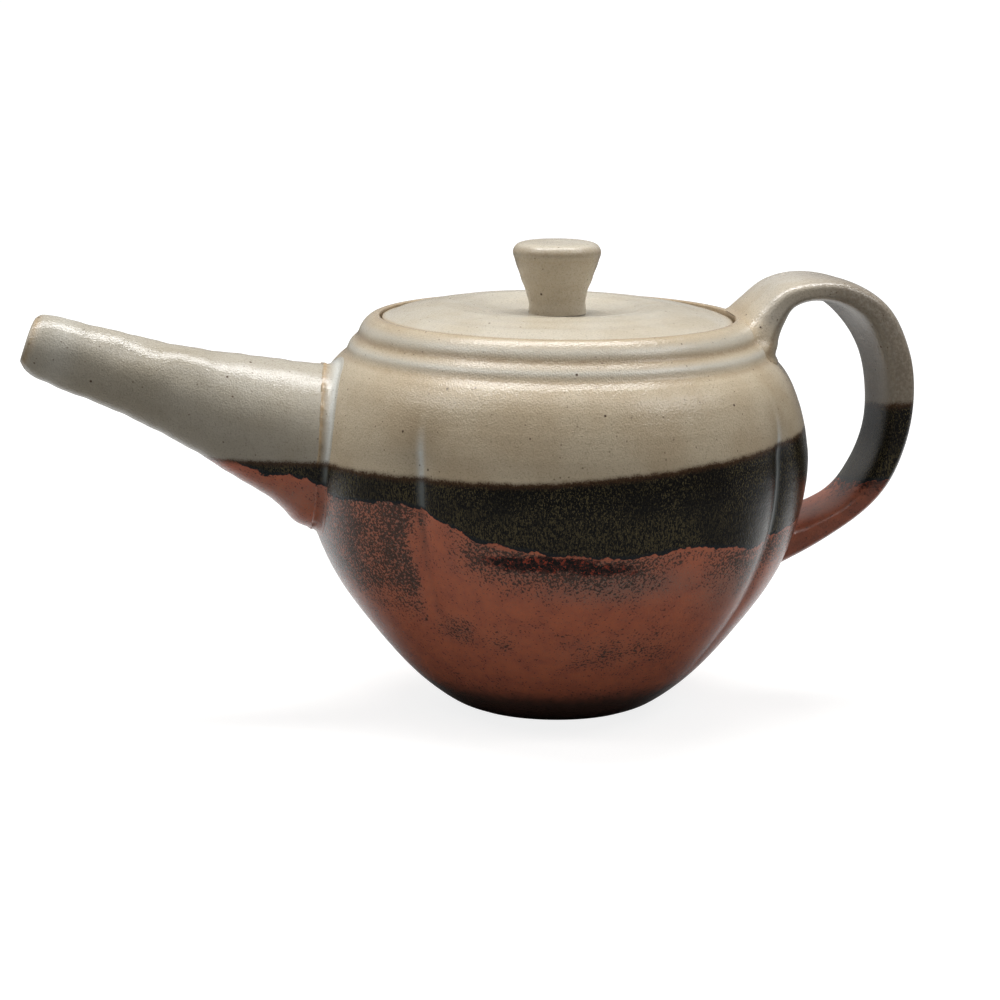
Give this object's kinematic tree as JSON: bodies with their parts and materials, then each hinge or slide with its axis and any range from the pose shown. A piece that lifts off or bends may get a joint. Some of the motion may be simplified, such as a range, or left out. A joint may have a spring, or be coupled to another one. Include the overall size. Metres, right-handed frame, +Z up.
{
  "type": "teapot",
  "caption": "Round lobed stoneware teapot with a long tapering spout, a flat strap handle opposite it, and a knobbed lid that drops into a gallery.",
  "frame": {"origin": "on the vessel's axis, in the plane that the foot stands on", "axes": "+Z up, -X towards the spout's tip, +X towards the handle, +Y to the vessel's back as the picture shows it"},
  "size_m": [0.2303, 0.1312, 0.1212],
  "materials": {
    "body_glaze": "satin glaze, pale above, black-brown in the middle, iron red below",
    "pale_glaze": "satin grey-beige glaze with iron specks",
    "handle_glaze": "satin glaze, pale at the top, black-brown and red below",
    "inner_clay": "thin matt glaze"
  },
  "bodies": {
    "pot": {"base": "body_glaze", "lobe_front": "body_glaze", "lobe_handle": "body_glaze", "lobe_back": "body_glaze", "lobe_spout": "body_glaze", "rim": "body_glaze", "spout": "pale_glaze", "spout_collar": "pale_glaze", "strainer": "inner_clay", "handle": "handle_glaze"},
    "lid": {"lid": "pale_glaze", "knob": "pale_glaze"}
  },
  "joints": [
    {"name": "lid_lift", "type": "slide", "parent": "pot", "child": "lid", "axis": [0, 0, 1], "range_m": [0, 0.05]}
  ]
}
